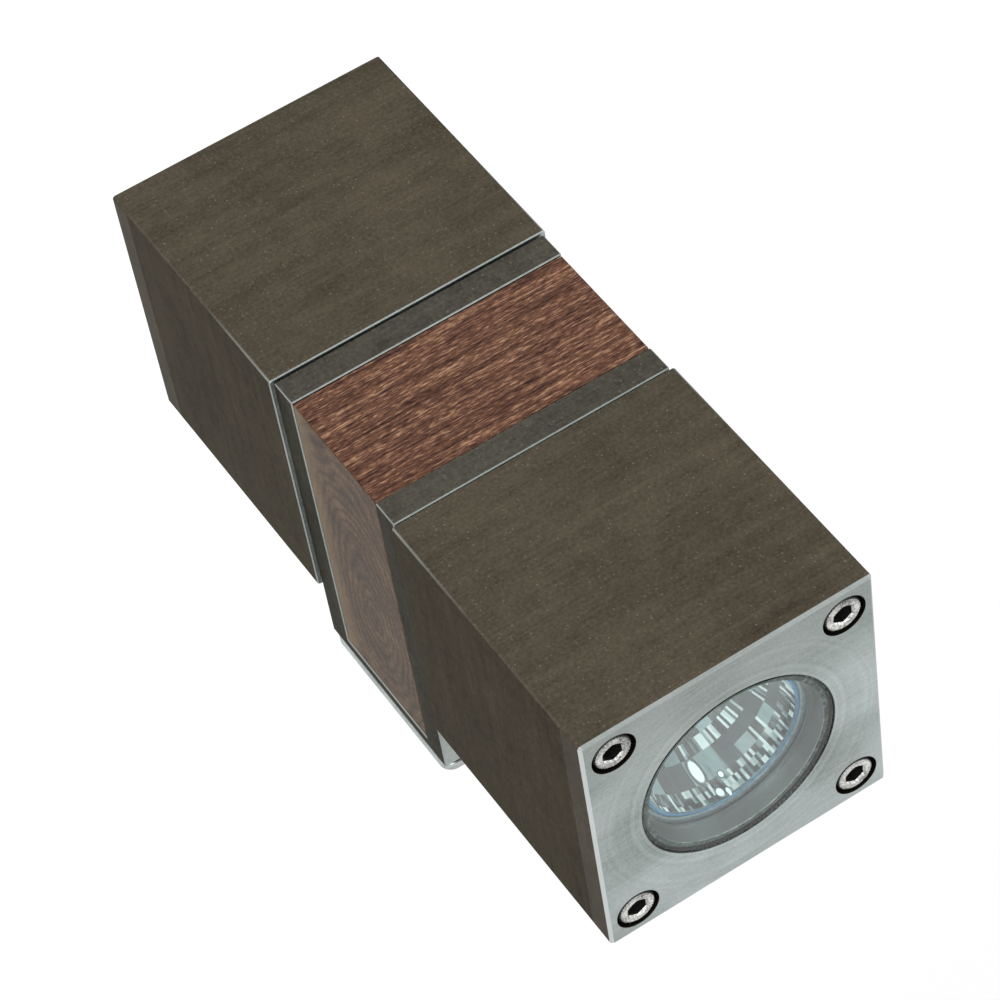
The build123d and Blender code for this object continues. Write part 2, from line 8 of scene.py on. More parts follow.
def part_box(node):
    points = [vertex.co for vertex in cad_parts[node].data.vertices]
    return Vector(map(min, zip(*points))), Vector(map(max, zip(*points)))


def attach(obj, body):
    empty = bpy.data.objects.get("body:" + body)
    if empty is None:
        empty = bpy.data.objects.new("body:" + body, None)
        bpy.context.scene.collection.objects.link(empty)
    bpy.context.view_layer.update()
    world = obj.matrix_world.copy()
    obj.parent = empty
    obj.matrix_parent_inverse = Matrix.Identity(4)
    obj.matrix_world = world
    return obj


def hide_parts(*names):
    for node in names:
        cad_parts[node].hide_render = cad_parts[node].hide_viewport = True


# Up-and-down wall light. Everything is in metres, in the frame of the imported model: the wall is at
# Y = 0, the front faces -Y and the two lamps shine along +Z and -Z.

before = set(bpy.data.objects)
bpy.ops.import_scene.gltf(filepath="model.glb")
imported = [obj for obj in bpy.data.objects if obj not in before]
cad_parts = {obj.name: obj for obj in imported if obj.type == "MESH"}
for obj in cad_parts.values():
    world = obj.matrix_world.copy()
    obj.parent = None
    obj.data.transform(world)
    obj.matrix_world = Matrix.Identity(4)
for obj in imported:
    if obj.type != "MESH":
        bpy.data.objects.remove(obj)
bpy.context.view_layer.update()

MM = 0.001
ENDS = {"upper": Matrix.Identity(4), "lower": Matrix.Rotation(pi, 4, "Y")}

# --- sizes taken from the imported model, in millimetres -------------------------------------


def box_mm(node):
    """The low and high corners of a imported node."""
    low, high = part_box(node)
    return low / MM, high / MM


reflector_low, reflector_high = box_mm("upper_lamp_reflector")
lamp_glass_low, lamp_glass_high = box_mm("upper_lamp_glass")
capsule_low, capsule_high = box_mm("upper_lamp_capsule")
screws_low, screws_high = box_mm("upper_cover_screws")
housing_low, _ = box_mm("upper_housing")
AXIS_Y = (reflector_low.y + reflector_high.y) / 2
LAMP_R = reflector_high.x
LAMP_TOP = reflector_high.z
GLASS_R = lamp_glass_high.x
FRONT_Y = housing_low.y
END_ON = 0.6  # a face that points this much along an axis counts as lying across it


# --- colour and nodes -----------------------------------------------------------------------


def linear(code):
    """An sRGB hex colour as the linear colour that a shader takes."""
    parts = [int(code[i : i + 2], 16) / 255 for i in (1, 3, 5)]
    # the curve of sRGB, straight near black
    return tuple(c / 12.92 if c <= 0.04045 else ((c + 0.055) / 1.055) ** 2.4 for c in parts) + (1,)


def per_m(size_mm):
    """Repeats per metre of a pattern whose size is given in millimetres."""
    return 1000 / size_mm


def wire(tree, target, sockets):
    """Sets or links the named sockets: a value, a hex colour, a node or one of its outputs."""
    for key, value in sockets.items():
        if isinstance(key, int):
            socket = target.inputs[key]
        else:
            socket = next(s for s in target.inputs if s.enabled and s.name == key)
        if isinstance(value, bpy.types.Node):
            value = next(s for s in value.outputs if s.enabled)
        if isinstance(value, bpy.types.NodeSocket):
            tree.links.new(value, socket)
        else:
            socket.default_value = linear(value) if isinstance(value, str) else value


def add(tree, kind, sockets=None, stops=None, **settings):
    """Adds a node with its settings and links; stops are a colour ramp's places and colours."""
    made = tree.nodes.new("ShaderNode" + kind)
    for key, value in settings.items():
        setattr(made, key, value)
    if stops:
        ramp = made.color_ramp.elements
        while len(ramp) < len(stops):
            ramp.new(1.0)
        for element, (place, code) in zip(ramp, stops):
            element.position = place
            element.color = linear(code)
    wire(tree, made, sockets or {})
    return made


def new_material(name, **even):
    """A material and its Principled shader, with what is the same all over set on the shader."""
    made = bpy.data.materials.new(name)
    made.use_nodes = True
    tree = made.node_tree
    shader = tree.nodes["Principled BSDF"]
    wire(tree, shader, {key.replace("_", " "): value for key, value in even.items()})
    return made, tree, shader


def surface(tree):
    """The place on the light, and the X, Y and Z of the way that the face there points."""
    place = add(tree, "TexCoord")
    facing = add(tree, "SeparateXYZ", {0: place.outputs["Normal"]})
    return place.outputs["Object"], facing.outputs


def from_axis(tree, at):
    """How far the place lies from the lamps' axis."""
    spot = add(tree, "SeparateXYZ", {0: at})
    off_y = add(tree, "Math", {0: spot.outputs["Y"], 1: AXIS_Y * MM}, operation="SUBTRACT")
    plan = add(tree, "CombineXYZ", {"X": spot.outputs["X"], "Y": off_y})
    return add(tree, "VectorMath", {0: plan}, operation="LENGTH").outputs["Value"]


def layered(tree, shares, base=0.0):
    """Adds patterns up on a base value, each with its own share."""
    total = base
    for pattern, share in shares:
        total = add(tree, "Math", {0: pattern, 1: share, 2: total}, operation="MULTIPLY_ADD")
    return total


# --- metals ---------------------------------------------------------------------------------


def dyed_skin(tree, at, dyed, streaked):
    """Colour of brushed and dyed aluminium: strokes across the tube, clouds, grit and specks.
    The strokes and the grit are drawn coarser than real ones, so that they show."""
    stroke_way = (per_m(26), per_m(26), per_m(0.55))
    strokes = add(tree, "Mapping", {"Vector": at, "Scale": stroke_way})
    fibrous = {"Scale": 1.0, "Detail": 3.0, "Roughness": 0.6}
    brush = add(tree, "TexNoise", {"Vector": strokes, **fibrous})
    band_way = (per_m(45), per_m(45), per_m(3.5))
    sweep = add(tree, "Mapping", {"Vector": at, "Scale": band_way})
    band = add(tree, "TexNoise", {"Vector": sweep, "Scale": 1.0, "Detail": 2.0})
    cloud = add(tree, "TexNoise", {"Vector": at, "Scale": per_m(34), "Detail": 4.0})
    patch = add(tree, "TexNoise", {"Vector": at, "Scale": per_m(4.5), "Detail": 3.0})
    grit = add(tree, "TexNoise", {"Vector": at, "Scale": per_m(0.9), "Detail": 2.0})
    shares = ((brush, 0.2), (band, 0.16), (cloud, 0.2), (patch, 0.14), (grit, 0.3))
    tone = layered(tree, shares)
    skin = add(tree, "ValToRGB", {"Fac": tone}, stops=[(0.33, dyed), (0.67, streaked)])

    # pale specks about a millimetre apart, most of them faint or left out
    dots = add(tree, "TexVoronoi", {"Vector": at, "Scale": per_m(1.1)})
    speck_edge = {"From Min": 0.26, "From Max": 0.1}
    near = add(tree, "MapRange", {"Value": dots.outputs["Distance"], **speck_edge})
    chance = add(tree, "SeparateColor", {"Color": dots.outputs["Color"]})
    few = add(tree, "MapRange", {"Value": chance.outputs["Red"], "From Min": 0.45, "To Max": 0.4})
    speck = add(tree, "Math", {0: near, 1: few}, operation="MULTIPLY")
    skin = add(tree, "Mix", {"Factor": speck, "A": skin, "B": "#A29A88"}, data_type="RGBA")
    ground = add(tree, "Math", {0: grit, 1: 0.5, 2: brush}, operation="MULTIPLY_ADD")
    return skin, tone, cloud, ground


def anodised_aluminium(name, dyed, streaked, cut, worn):
    """Brushed aluminium, dyed bronze by anodising, with its ends milled bright afterwards.
    To the eye: dull dark faces with fine streaks and specks, light, crisp cut edges, and pale
    rounded edges that are partly wear and partly painted highlight."""
    made, tree, shader = new_material(name, Metallic=1.0, Specular_Tint="#A8A8A8")
    at, facing = surface(tree)
    up = add(tree, "Math", {0: facing["Z"]}, operation="ABSOLUTE")
    milled = add(tree, "Math", {0: up, 1: END_ON}, operation="GREATER_THAN")
    skin, tone, cloud, ground = dyed_skin(tree, at, dyed, streaked)

    # the dye is rubbed off the rounded edges, more so beside the joint of the two halves; these
    # lighter edges are partly wear and partly painted highlight where the roundings catch the light
    side_on = add(tree, "Math", {0: facing["X"]}, operation="ABSOLUTE")
    front_on = add(tree, "Math", {0: facing["Y"]}, operation="ABSOLUTE")
    most = add(tree, "Math", {0: side_on, 1: front_on}, operation="MAXIMUM")
    most = add(tree, "Math", {0: most, 1: up}, operation="MAXIMUM")
    rounding = {"From Min": 0.99, "From Max": 0.8, "To Max": 0.75}
    edge = add(tree, "MapRange", {"Value": most, **rounding})
    height = add(tree, "SeparateXYZ", {0: at}).outputs["Z"]
    height = add(tree, "Math", {0: height}, operation="ABSOLUTE")
    far_mm, joint_mm = 62, 30
    wear_and_highlight_reach = {"From Min": far_mm * MM, "From Max": joint_mm * MM, "To Min": 0.15, "To Max": 1.5}
    near_joint_wear_and_highlight = add(tree, "MapRange", {"Value": height, **wear_and_highlight_reach})
    worn_and_highlit_edges = add(tree, "Math", {0: edge, 1: cloud}, operation="MULTIPLY")
    worn_and_highlit_edges = add(tree, "Math", {0: worn_and_highlit_edges, 1: near_joint_wear_and_highlight}, operation="MULTIPLY", use_clamp=True)
    skin = add(tree, "Mix", {"Factor": worn_and_highlit_edges, "A": skin, "B": worn}, data_type="RGBA")

    bare = add(tree, "ValToRGB", {"Fac": tone}, stops=[(0.3, cut), (0.7, worn)])
    colour = add(tree, "Mix", {"Factor": milled, "A": skin, "B": bare}, data_type="RGBA")
    dull = add(tree, "MapRange", {"Value": tone, "To Min": 0.3, "To Max": 0.52})
    relief = add(tree, "Bump", {"Height": ground, "Strength": 0.25, "Distance": 0.03 * MM})
    wire(tree, shader, {"Base Color": colour, "Roughness": dull, "Normal": relief})
    return made


def machined_cover(name, dyed, streaked, cut, bright):
    """Plate milled bright on its outer face and in its bores, with the bronze dye left on its
    edges. To the eye: satin light grey with faint turning marks round the window, painted shade
    along the front edge and in the bore, and painted highlights on the bevels."""
    bore_mm = 30  # everything nearer to the axis than this is bare metal
    marks_from_mm, marks_to_mm = 27, 43  # the turning marks fade out between these
    ledge_mm = 25  # the bore under the window ends here
    front_shade_mm = 34  # painted shade, standing in for a darker reflection, reaches this far back from the front edge
    made, tree, shader = new_material(name, Metallic=1.0, Specular_Tint="#BCBCBC")
    at, facing = surface(tree)
    up = add(tree, "Math", {0: facing["Z"]}, operation="ABSOLUTE")
    flat = add(tree, "Math", {0: up, 1: END_ON}, operation="GREATER_THAN")
    radius = from_axis(tree, at)
    bore = add(tree, "Math", {0: radius, 1: bore_mm * MM}, operation="LESS_THAN")
    metal = add(tree, "Math", {0: flat, 1: bore}, operation="MAXIMUM")

    turned = add(tree, "CombineXYZ", {"X": radius})
    lines = {"Scale": per_m(1.6), "Detail": 3.0, "Roughness": 0.65}
    rings = add(tree, "TexNoise", {"Vector": turned, **lines})
    reach = {"From Min": marks_from_mm * MM, "From Max": marks_to_mm * MM}
    fade = add(tree, "MapRange", {"Value": radius, **reach, "To Min": 1.0, "To Max": 0.1})
    swirl = add(tree, "Math", {0: rings, 1: 0.5}, operation="SUBTRACT")
    swirl = add(tree, "Math", {0: swirl, 1: fade}, operation="MULTIPLY")
    across = (per_m(30), per_m(0.6), per_m(30))
    strokes = add(tree, "Mapping", {"Vector": at, "Scale": across})
    brush = add(tree, "TexNoise", {"Vector": strokes, "Scale": 1.0, "Detail": 3.0})
    cloud = add(tree, "TexNoise", {"Vector": at, "Scale": per_m(30), "Detail": 4.0})
    fine = add(tree, "TexNoise", {"Vector": at, "Scale": per_m(0.8), "Detail": 2.0})
    tone = layered(tree, ((brush, 0.16), (fine, 0.2), (cloud, 0.64), (swirl, 0.5)))
    bare = add(tree, "ValToRGB", {"Fac": tone}, stops=[(0.3, cut), (0.68, bright)])

    # painted shade: a darker reflection along the front edge, laid on in clouds
    back = add(tree, "SeparateXYZ", {0: at}).outputs["Y"]
    reach = {"From Min": FRONT_Y * MM, "From Max": (FRONT_Y + front_shade_mm) * MM}
    front = add(tree, "MapRange", {"Value": back, **reach, "To Min": 0.6, "To Max": 0.0})
    painted_front_shade = add(tree, "Math", {0: front, 1: cloud}, operation="MULTIPLY")
    bare = add(tree, "Mix", {"Factor": painted_front_shade, "A": bare, "B": "#62625A"}, data_type="RGBA")

    # painted highlight on the bevels, least on the one along the front
    bevel = add(tree, "Math", {0: up, 1: 0.93}, operation="LESS_THAN")
    bevel = add(tree, "Math", {0: bevel, 1: flat}, operation="MULTIPLY")
    turn = {"From Min": -0.5, "From Max": -0.1, "To Min": 0.1, "To Max": 0.7}
    bevel_highlight_share = add(tree, "MapRange", {"Value": facing["Y"], **turn})
    bevel = add(tree, "Math", {0: bevel, 1: bevel_highlight_share}, operation="MULTIPLY")
    bare = add(tree, "Mix", {"Factor": bevel, "A": bare, "B": "#DDE2E0"}, data_type="RGBA")
    # painted shade: the bore under the window is darkened
    reach = {"From Min": (ledge_mm + 0.2) * MM, "From Max": (ledge_mm - 0.2) * MM}
    painted_bore_shade = add(tree, "MapRange", {"Value": radius, **reach, "To Max": 0.35})
    bare = add(tree, "Mix", {"Factor": painted_bore_shade, "A": bare, "B": "#4F5956"}, data_type="RGBA")

    skin = dyed_skin(tree, at, dyed, streaked)[0]
    colour = add(tree, "Mix", {"Factor": metal, "A": skin, "B": bare}, data_type="RGBA")
    dull = add(tree, "MapRange", {"Value": tone, "To Min": 0.3, "To Max": 0.5})
    relief = add(tree, "Bump", {"Height": brush, "Strength": 0.2, "Distance": 0.03 * MM})
    wire(tree, shader, {"Base Color": colour, "Roughness": dull, "Normal": relief})
    return made


def plain_metal(name, low, high, grain_mm, rough, relief_mm=0.02):
    """A bare or plated metal part. To the eye: a grey whose gloss breaks up in small patches."""
    made, tree, shader = new_material(name, Metallic=1.0)
    at = add(tree, "TexCoord").outputs["Object"]
    fine = add(tree, "TexNoise", {"Vector": at, "Scale": per_m(grain_mm), "Detail": 4.0})
    wide = add(tree, "TexNoise", {"Vector": at, "Scale": per_m(grain_mm * 9), "Detail": 2.0})
    tone = add(tree, "Math", {0: fine, 1: wide}, operation="ADD")
    tone = add(tree, "Math", {0: tone, 1: 0.5}, operation="MULTIPLY")
    colour = add(tree, "ValToRGB", {"Fac": tone}, stops=[(0.35, low), (0.65, high)])
    dull = add(tree, "MapRange", {"Value": tone, "To Min": rough - 0.1, "To Max": rough + 0.1})
    bump = add(tree, "Bump", {"Height": fine, "Strength": 0.3, "Distance": relief_mm * MM})
    wire(tree, shader, {"Base Color": colour, "Roughness": dull, "Normal": bump})
    return made


# Painted reflections of the burner in the mirror, as white glowing ovals: degrees round the axis,
# millimetres below the lamp's front, and half the width and half the height in millimetres.
PAINTED_BURNER_GLINTS = [
    (83.0, 10.8, 2.0, 4.6),
    (96.0, 7.2, 0.9, 1.2),
    (88.0, 3.4, 1.3, 1.9),
    (93.0, 2.6, 0.8, 1.5),
]


def mirror_coating(name):
    """Aluminium evaporated on pressed glass. To the eye: crisp facets with painted reflections, some
    dark, some pale and a few white and glowing, with the burner's reflection painted as white
    glowing ovals in the wall of the bowl."""
    # the emission colour is for the painted glow of the mirror's reflections
    made, tree, shader = new_material(name, Metallic=0.25, Emission_Color="#DDEBF2")
    at = add(tree, "TexCoord").outputs["Object"]
    facet = add(tree, "Attribute", attribute_name="facet").outputs["Fac"]
    ripple_way = add(tree, "Mapping", {"Vector": at, "Scale": (per_m(0.9), per_m(0.9), per_m(7))})
    ripple = add(tree, "TexNoise", {"Vector": ripple_way, "Scale": 1.0, "Detail": 3.0})
    tone = add(tree, "Math", {0: ripple, 1: 0.22, 2: facet}, operation="MULTIPLY_ADD")
    colour = add(
        tree,
        "ValToRGB",
        {"Fac": tone},
        stops=[(0.14, "#0B1113"), (0.36, "#4B5C61"), (0.62, "#C3D8E2"), (0.8, "#FFFFFF")],
    )

    spot = add(tree, "SeparateXYZ", {0: at})
    half = add(tree, "Math", {0: spot.outputs["Z"]}, operation="SIGN")
    out_x = add(tree, "Math", {0: spot.outputs["X"], 1: half}, operation="MULTIPLY")
    out_y = add(tree, "Math", {0: spot.outputs["Y"], 1: AXIS_Y * MM}, operation="SUBTRACT")
    high = add(tree, "Math", {0: spot.outputs["Z"]}, operation="ABSOLUTE")
    turn = add(tree, "Math", {0: out_y, 1: out_x}, operation="ARCTAN2")
    # painted glow: the palest facets give off light, standing in for reflections
    brightest_glow = {"From Min": 0.66, "From Max": 1.0, "To Max": 0.45}
    painted_glow = add(tree, "MapRange", {"Value": tone, **brightest_glow})
    for degrees_round, below_top, half_wide, half_tall in PAINTED_BURNER_GLINTS:
        # each oval is a painted reflection of the burner: white, with a painted grey rim, and
        # glowing
        across = add(tree, "Math", {0: turn, 1: radians(degrees_round)}, operation="SUBTRACT")
        across = add(tree, "Math", {0: across, 1: GLASS_R / half_wide}, operation="MULTIPLY")
        middle = (LAMP_TOP - below_top) * MM
        along = add(tree, "Math", {0: high, 1: middle}, operation="SUBTRACT")
        along = add(tree, "Math", {0: along, 1: per_m(half_tall)}, operation="MULTIPLY")
        oval = add(tree, "CombineXYZ", {"X": across, "Y": along})
        out = add(tree, "VectorMath", {0: oval}, operation="LENGTH").outputs["Value"]
        shade = add(tree, "ValToRGB", {"Fac": out}, stops=[(0.6, "#FFFFFF"), (0.78, "#59666A")])
        reach = add(tree, "MapRange", {"Value": out, "From Min": 1.05, "From Max": 0.95})
        colour = add(tree, "Mix", {"Factor": reach, "A": colour, "B": shade}, data_type="RGBA")
        painted_glint_glow = add(tree, "MapRange", {"Value": out, "From Min": 0.72, "From Max": 0.6})
        painted_glow = add(tree, "Math", {0: painted_glow, 1: painted_glint_glow}, operation="MAXIMUM")
    dull = add(tree, "MapRange", {"Value": ripple, "To Min": 0.02, "To Max": 0.09})
    bump = add(tree, "Bump", {"Height": ripple, "Strength": 0.2, "Distance": 0.05 * MM})
    sockets = {"Base Color": colour, "Roughness": dull, "Normal": bump, "Emission Strength": painted_glow}
    wire(tree, shader, sockets)
    return made


# --- glass, plastics, rubber, ceramic ---------------------------------------------------------


def clear_glass(name, tint, smear_mm, rough=0.012):
    """Glass that lets lamp light through. To the eye: clear, with a faint tint and gloss."""
    made, tree, shader = new_material(
        name, Transmission_Weight=1.0, IOR=1.5, Base_Color=tint, Specular_Tint="#303030"
    )
    at = add(tree, "TexCoord").outputs["Object"]
    smear = add(tree, "TexNoise", {"Vector": at, "Scale": per_m(smear_mm), "Detail": 3.0})
    smeared = {"From Min": 0.55, "From Max": 0.8, "To Max": rough}
    dull = add(tree, "MapRange", {"Value": smear, **smeared})
    wire(tree, shader, {"Roughness": dull})
    rays = add(tree, "LightPath").outputs["Is Shadow Ray"]
    through = add(tree, "BsdfTransparent", {"Color": tint})
    both = add(tree, "MixShader", {0: rays, 1: shader, 2: through})
    tree.links.new(both.outputs[0], tree.nodes["Material Output"].inputs["Surface"])
    return made


def dull_solid(name, low, high, grain_mm, rough, relief_mm, **even):
    """A moulded, fired or cast part. To the eye: an even colour with a fine, mottled skin."""
    made, tree, shader = new_material(name, **even)
    at = add(tree, "TexCoord").outputs["Object"]
    fine = add(tree, "TexNoise", {"Vector": at, "Scale": per_m(grain_mm), "Detail": 5.0})
    wide = add(tree, "TexNoise", {"Vector": at, "Scale": per_m(grain_mm * 12), "Detail": 2.0})
    tone = add(tree, "Math", {0: fine, 1: wide}, operation="ADD")
    tone = add(tree, "Math", {0: tone, 1: 0.5}, operation="MULTIPLY")
    colour = add(tree, "ValToRGB", {"Fac": tone}, stops=[(0.35, low), (0.65, high)])
    dull = add(tree, "MapRange", {"Value": tone, "To Min": rough - 0.08, "To Max": rough + 0.08})
    bump = add(tree, "Bump", {"Height": fine, "Strength": 0.4, "Distance": relief_mm * MM})
    wire(tree, shader, {"Base Color": colour, "Roughness": dull, "Normal": bump})
    return made


def silicone_bed(name):
    """Clear silicone squeezed under the window. To the eye: a mottled grey-green band, dark at
    the edge."""
    dark_from_mm, dark_to_mm = 25.8, 26.3
    made, tree, shader = new_material(name, IOR=1.41)
    at = add(tree, "TexCoord").outputs["Object"]
    radius = from_axis(tree, at)
    smears = {"Scale": per_m(1.3), "Detail": 4.0, "Roughness": 0.7}
    blots = add(tree, "TexNoise", {"Vector": at, **smears})
    soft = add(
        tree,
        "ValToRGB",
        {"Fac": blots},
        stops=[(0.3, "#6F7D77"), (0.45, "#A3B1AB"), (0.58, "#C6D1CC"), (0.68, "#FFFFFF")],
    )
    reach = {"From Min": dark_from_mm * MM, "From Max": dark_to_mm * MM}
    outer = add(tree, "MapRange", {"Value": radius, **reach})
    colour = add(tree, "Mix", {"Factor": outer, "A": soft, "B": "#020705"}, data_type="RGBA")
    bump = add(tree, "Bump", {"Height": blots, "Strength": 0.5, "Distance": 0.1 * MM})
    wire(tree, shader, {"Base Color": colour, "Roughness": 0.35, "Normal": bump})
    return made


def oiled_hardwood(name):
    """Oiled tropical hardwood cut along the grain. To the eye: red-brown with fine dark pores
    along the front, and the growth rings cut across on the sides."""
    heart_y_mm, heart_z_mm = -40, 3  # middle of the growth rings
    ring_mm = 2.4
    bend_mm = 9  # how far the rings wander
    sap_from_mm, sap_to_mm = -11, -19  # paler wood begins and is full at these heights
    made, tree, shader = new_material(name, Specular_IOR_Level=0.15)
    at, facing = surface(tree)
    side_on = add(tree, "Math", {0: facing["X"]}, operation="ABSOLUTE")
    end_grain = add(tree, "Math", {0: side_on, 1: END_ON}, operation="GREATER_THAN")

    drift = add(tree, "Mapping", {"Vector": at, "Scale": (per_m(60), per_m(22), per_m(22))})
    bend = add(tree, "TexNoise", {"Vector": drift, "Scale": 1.0, "Detail": 2.0})
    spot = add(tree, "SeparateXYZ", {0: at})
    off_y = add(tree, "Math", {0: spot.outputs["Y"], 1: heart_y_mm * MM}, operation="SUBTRACT")
    off_z = add(tree, "Math", {0: spot.outputs["Z"], 1: heart_z_mm * MM}, operation="SUBTRACT")
    drawn = add(tree, "Math", {0: off_y, 1: 0.45}, operation="MULTIPLY")
    plan = add(tree, "CombineXYZ", {"Y": drawn, "Z": off_z})
    radius = add(tree, "VectorMath", {0: plan}, operation="LENGTH").outputs["Value"]
    warped = layered(tree, ((bend, bend_mm * MM),), radius)
    phase = add(tree, "Math", {0: warped, 1: per_m(ring_mm)}, operation="MULTIPLY")
    year = add(tree, "Math", {0: phase, 1: 1.0}, operation="FRACT")
    swing = add(tree, "Math", {0: year, 1: pi}, operation="MULTIPLY")
    late = add(tree, "Math", {0: swing}, operation="SINE")

    pore_size = (per_m(2.2), per_m(0.32), per_m(0.32))
    pore_way = add(tree, "Mapping", {"Vector": at, "Scale": pore_size})
    fibrous = {"Scale": 1.0, "Detail": 3.0, "Roughness": 0.6}
    pores = add(tree, "TexNoise", {"Vector": pore_way, **fibrous})
    streak_way = add(tree, "Mapping", {"Vector": at, "Scale": (per_m(45), per_m(2.2), per_m(2.2))})
    streaks = add(tree, "TexNoise", {"Vector": streak_way, "Scale": 1.0, "Detail": 3.0})
    line_way = add(tree, "Mapping", {"Vector": at, "Scale": (per_m(24), per_m(0.7), per_m(0.7))})
    lines = add(tree, "TexNoise", {"Vector": line_way, "Scale": 1.0, "Detail": 2.0})
    tone = layered(tree, ((streaks, 0.16), (lines, 0.3), (pores, 0.54)))
    long_grain = add(
        tree,
        "ValToRGB",
        {"Fac": tone},
        stops=[(0.38, "#24100A"), (0.46, "#4E3124"), (0.54, "#6B4836"), (0.63, "#AA8468")],
    )

    fibre = add(tree, "TexNoise", {"Vector": at, "Scale": per_m(0.7), "Detail": 3.0})
    blot = add(tree, "TexNoise", {"Vector": at, "Scale": per_m(9), "Detail": 3.0})
    ringed = layered(tree, ((late, 0.12), (fibre, 0.45), (blot, 0.32)), 0.02)
    across = add(
        tree,
        "ValToRGB",
        {"Fac": ringed},
        stops=[(0.36, "#2B1F13"), (0.5, "#493624"), (0.64, "#66503A")],
    )
    reach = {"From Min": sap_from_mm * MM, "From Max": sap_to_mm * MM, "To Max": 0.55}
    sapwood = add(tree, "MapRange", {"Value": spot.outputs["Z"], **reach})
    across = add(tree, "Mix", {"Factor": sapwood, "A": across, "B": "#7D6A4C"}, data_type="RGBA")
    mixed = {"Factor": end_grain, "A": long_grain, "B": across}
    colour = add(tree, "Mix", mixed, data_type="RGBA")
    dull = add(tree, "MapRange", {"Value": pores, "To Min": 0.62, "To Max": 0.42})
    bump = add(tree, "Bump", {"Height": pores, "Strength": 0.35, "Distance": 0.08 * MM})
    wire(tree, shader, {"Base Color": colour, "Roughness": dull, "Normal": bump})
    return made


# --- mesh tools -------------------------------------------------------------------------------


def piece(name, body, end, shape, materials, stands_for=()):
    """Makes an object from a bmesh in millimetres about the upper lamp axis, and lets it ride."""
    bmesh.ops.recalc_face_normals(shape, faces=shape.faces)
    mesh = bpy.data.meshes.new(name)
    shape.to_mesh(mesh)
    shape.free()
    mesh.transform(ENDS[end] @ Matrix.Translation((0, AXIS_Y * MM, 0)) @ Matrix.Scale(MM, 4))
    for finish_of_face in materials:
        mesh.materials.append(finish_of_face)
    made = bpy.data.objects.new(name, mesh)
    bpy.context.scene.collection.objects.link(made)
    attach(made, body)
    if stands_for:
        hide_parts(*stands_for)
    return made


def lathe(mesh, profile, segments, material=0, smooth=True, close=False, wave=None):
    """Turns a profile of (radius, height) round Z. wave(segment, ring) pushes a point outward."""
    rings = []
    for k, (r, z) in enumerate(profile):
        if r < 1e-6:
            rings.append([mesh.verts.new((0, 0, z))])
            continue
        ring = []
        for i in range(segments):
            turn = tau * i / segments
            grow = wave(i, k) if wave else 0
            ring.append(mesh.verts.new(((r + grow) * cos(turn), (r + grow) * sin(turn), z)))
        rings.append(ring)
    pairs = list(zip(rings, rings[1:]))
    if close:
        pairs.append((rings[-1], rings[0]))
    faces = []
    for low, high in pairs:
        for i in range(segments):
            j = (i + 1) % segments
            if len(low) == 1:
                loop = [low[0], high[i], high[j]]
            elif len(high) == 1:
                loop = [low[i], high[0], low[j]]
            else:
                loop = [low[i], high[i], high[j], low[j]]
            face = mesh.faces.new(loop)
            face.material_index = material
            face.smooth = smooth
            faces.append(face)
    return faces


# --- lamp -------------------------------------------------------------------------------------

RIM_TALL = 3.0  # straight rim round the front glass
BOWL_LONG = 27.0  # from the front of the lamp to the throat
THROAT_R = 6.0  # opening for the burner
NECK_R = 12.0  # outside of the shell at its foot
SHELL = 1.8  # thickness of the shell's foot
LEDGE = 1.85  # the front glass stands in a recess this deep
MIRROR_IN = 0.95  # the mirror's edge lies this far inside the front glass
FIT = 0.05  # play round the front glass
BLOCKS = 28  # facets round the bowl
STRIPS = 6  # narrow strips in one facet
BLOCK_ROWS = [0.06, 0.14, 0.22, 0.36, 0.5, 0.64, 0.78, 0.9]  # shares of the way to the throat
PLAIN_TONE = 0.3  # brightness of the faces outside the mirror
UNEVEN = 0.16  # how far a corner of a facet may lie off its place
LAMP_SEGMENTS = 96


def bowl_inside(t):
    """Radius of the mirror from the front glass (t = 0) to the throat (t = 1)."""
    wide = GLASS_R - MIRROR_IN
    return THROAT_R + (wide - THROAT_R) * sqrt(max(0.0, 1 - t**1.9))


def bowl_outside(t):
    """Radius of the shell from under the rim (t = 0) to the neck (t = 1)."""
    return NECK_R + (LAMP_R - 0.1 - NECK_R) * (1 - t**1.75)


def painted_reflection_tone(column, row, seed):
    """How bright the painted reflection on one face of the mirror is: whole blocks low down, single
    strips by the rim.
    """
    rim_rows = 3
    block = column // STRIPS
    split = noise.noise(Vector((block * 0.37 + seed, row * 0.9, 4.1)))
    if row < rim_rows or split > 0.22:
        streak = noise.noise(Vector((column * 0.91 + seed, row * 0.53, 7.7)))
        return min(1.0, max(0.0, 0.4 + 1.5 * streak))
    patch = noise.noise(Vector((block * 0.43 + seed, row * 0.61, 2.2)))
    little = noise.noise(Vector((block * 1.7, row * 2.3 + seed, 9.4)))
    return (0.16 if patch < 0.02 else 0.5) + 0.1 * little


